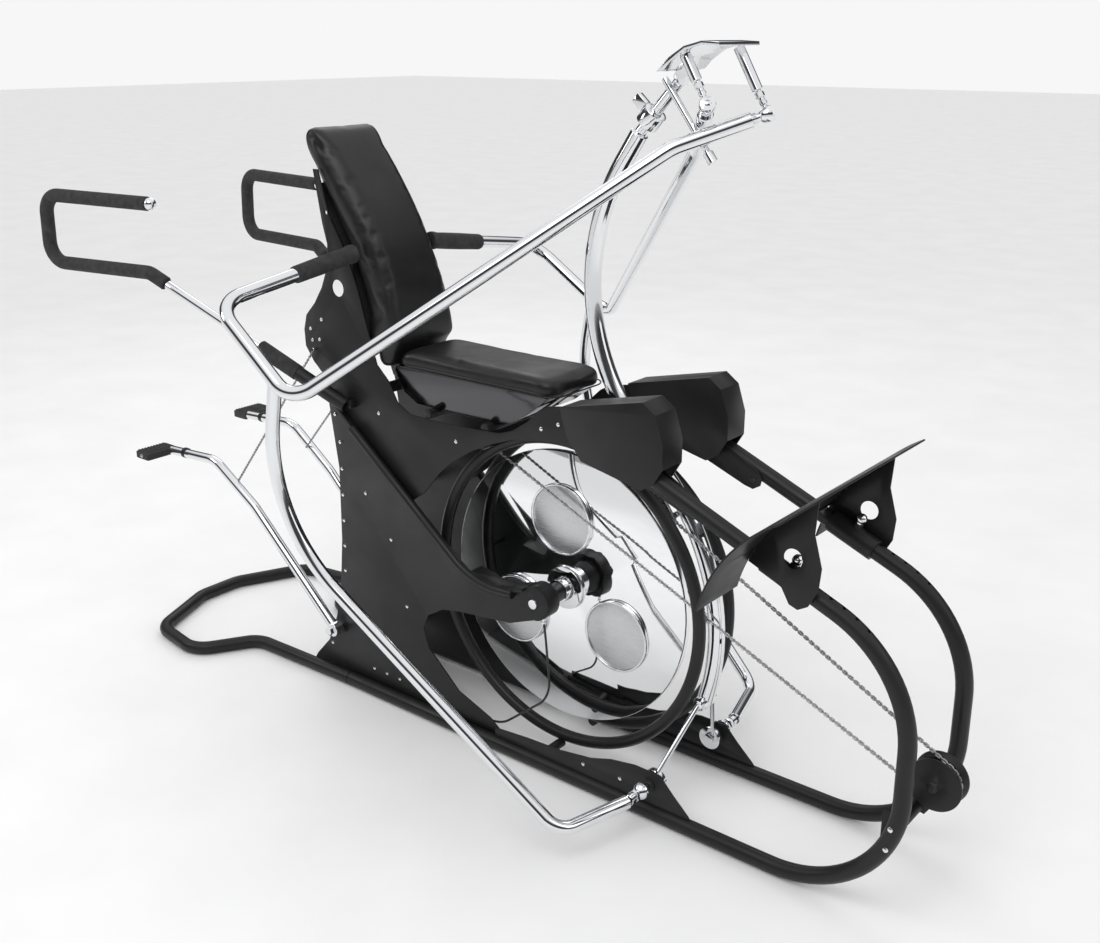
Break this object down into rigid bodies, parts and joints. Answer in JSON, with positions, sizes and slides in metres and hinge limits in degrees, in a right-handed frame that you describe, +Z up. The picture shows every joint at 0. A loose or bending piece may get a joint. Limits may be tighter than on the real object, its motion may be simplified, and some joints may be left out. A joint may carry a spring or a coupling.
{
  "type": "seated multi-station exercise machine",
  "caption": "Seated home exercise machine: flywheel in a tube frame, swinging press arms, sliding footplate, rear step levers and pull-out rear handles.",
  "frame": {"origin": "on the floor in the machine's middle plane, straight below the flywheel axle", "axes": "+X is the way the rider faces, +Y is the rider's left, +Z is up"},
  "size_m": [2.6739, 1.1835, 1.7316],
  "materials": {
    "black_powder_coat": "satin black powder coat with a fine texture",
    "chrome_tube": "polished chrome plate",
    "mirror_disc": "mirror-polished disc face",
    "brushed_boss": "fine circular brushing",
    "zinc_plate": "bright zinc plate",
    "zinc_chain": "bright zinc-plated roller chain",
    "black_vinyl": "smooth black vinyl upholstery, low sheen",
    "foam_rubber": "matt black foam rubber sleeve",
    "cable_rubber": "black plastic cable outer"
  },
  "bodies": {
    "frame": {"rear_loop": "black_powder_coat", "side_frame_right": "black_powder_coat", "side_frame_left": "black_powder_coat", "front_cross_tube": "black_powder_coat", "outer_cheek_right": "black_powder_coat", "outer_cheek_left": "black_powder_coat", "upper_plate_right": "black_powder_coat", "upper_plate_left": "black_powder_coat", "front_box_right": "black_powder_coat", "front_box_left": "black_powder_coat", "base_gusset_right": "black_powder_coat", "base_gusset_left": "black_powder_coat", "cross_bars": "black_powder_coat", "rail_straps": "black_powder_coat", "frame_bolts": "chrome_tube", "seat_pan": "chrome_tube", "seat_cushion": "black_vinyl", "back_board": "black_powder_coat", "back_cushion": "black_vinyl", "handle_socket_right": "black_powder_coat", "handle_socket_left": "black_powder_coat", "wheel_axle": "chrome_tube", "axle_sleeves": "black_powder_coat", "guard_hoops": "black_powder_coat", "brake_cable": "cable_rubber", "lower_balls": "chrome_tube", "drive_chain_lower": "zinc_chain", "drive_chain_upper": "zinc_chain", "step_chain_right": "zinc_chain", "step_chain_left": "zinc_chain"},
    "flywheel": {"mirror_disc": "mirror_disc", "wheel_hub": "chrome_tube", "wheel_bosses": "brushed_boss", "boss_rims": "chrome_tube"},
    "pulley": {"front_pulley": "black_powder_coat"},
    "press_frame": {"mast": "chrome_tube", "mast_clamp": "chrome_tube", "yoke_plate": "chrome_tube", "yoke_rods": "chrome_tube", "link_rods": "chrome_tube", "chain_clevis": "zinc_plate"},
    "right_arm": {"press_arm_right": "chrome_tube", "grip_right": "foam_rubber", "arm_ends_right": "chrome_tube"},
    "left_arm": {"press_arm_left": "chrome_tube", "grip_left": "foam_rubber", "arm_ends_left": "chrome_tube"},
    "foot_carriage": {"footplate": "black_powder_coat", "foot_cheeks": "black_powder_coat", "rail_sleeves": "black_powder_coat"},
    "right_pin": {"pull_pin_right": "chrome_tube"},
    "left_pin": {"pull_pin_left": "chrome_tube"},
    "right_step": {"step_lever_right": "chrome_tube", "pedal_right": "black_powder_coat"},
    "left_step": {"step_lever_left": "chrome_tube", "pedal_left": "black_powder_coat"},
    "right_handle": {"handle_tube_right": "chrome_tube", "handle_foam_right": "foam_rubber"},
    "left_handle": {"handle_tube_left": "chrome_tube", "handle_foam_left": "foam_rubber"}
  },
  "joints": [
    {"name": "flywheel_spin", "type": "hinge", "parent": "frame", "child": "flywheel", "pos_m": [0.018, 0, 0.437], "axis": [0, 1, 0], "continuous": true},
    {"name": "press_tilt", "type": "hinge", "parent": "frame", "child": "press_frame", "pos_m": [0.383, 0, 0.089], "axis": [0, 1, 0], "range_deg": [0, 18], "deforming": ["drive_chain_upper"]},
    {"name": "pulley_spin", "type": "hinge", "parent": "frame", "child": "pulley", "pos_m": [1.015, -0.034, 0.3], "axis": [0, 1, 0], "range_deg": [0, 211]},
    {"name": "right_arm_swing", "type": "hinge", "parent": "press_frame", "child": "right_arm", "pos_m": [0.383, -0.178, 0.089], "axis": [0.0696, 0.1497, 0.9863], "range_deg": [0, 25]},
    {"name": "left_arm_swing", "type": "hinge", "parent": "press_frame", "child": "left_arm", "pos_m": [0.383, 0.178, 0.089], "axis": [-0.0163, 0.1482, -0.9888], "range_deg": [0, 25]},
    {"name": "footplate_slide", "type": "slide", "parent": "frame", "child": "foot_carriage", "axis": [0.9235, 0, -0.3835], "range_m": [-0.09, 0.03]},
    {"name": "right_pin_pull", "type": "slide", "parent": "foot_carriage", "child": "right_pin", "axis": [0.3835, 0, 0.9235], "range_m": [0, 0.008], "stiffness_N_per_m": 400},
    {"name": "left_pin_pull", "type": "slide", "parent": "foot_carriage", "child": "left_pin", "axis": [0.3835, 0, 0.9235], "range_m": [0, 0.008], "stiffness_N_per_m": 400},
    {"name": "right_step_swing", "type": "hinge", "parent": "frame", "child": "right_step", "pos_m": [-0.69, 0, 0.16], "axis": [0, 1, 0], "range_deg": [-7, 12], "deforming": ["step_chain_right"]},
    {"name": "left_step_swing", "type": "hinge", "parent": "frame", "child": "left_step", "pos_m": [-0.69, 0, 0.16], "axis": [0, 1, 0], "range_deg": [-12, 7], "deforming": ["step_chain_left"]},
    {"name": "right_handle_slide", "type": "slide", "parent": "frame", "child": "right_handle", "axis": [-0.8652, -0.2284, 0.4464], "range_m": [-0.08, 0.1]},
    {"name": "left_handle_slide", "type": "slide", "parent": "frame", "child": "left_handle", "axis": [-0.8652, 0.2284, 0.4464], "range_m": [-0.08, 0.1]}
  ],
  "couplings": [
    {"joint": "pulley_spin", "follows": "press_tilt", "ratio": 11.7},
    {"joint": "left_step_swing", "follows": "right_step_swing", "ratio": -1}
  ]
}
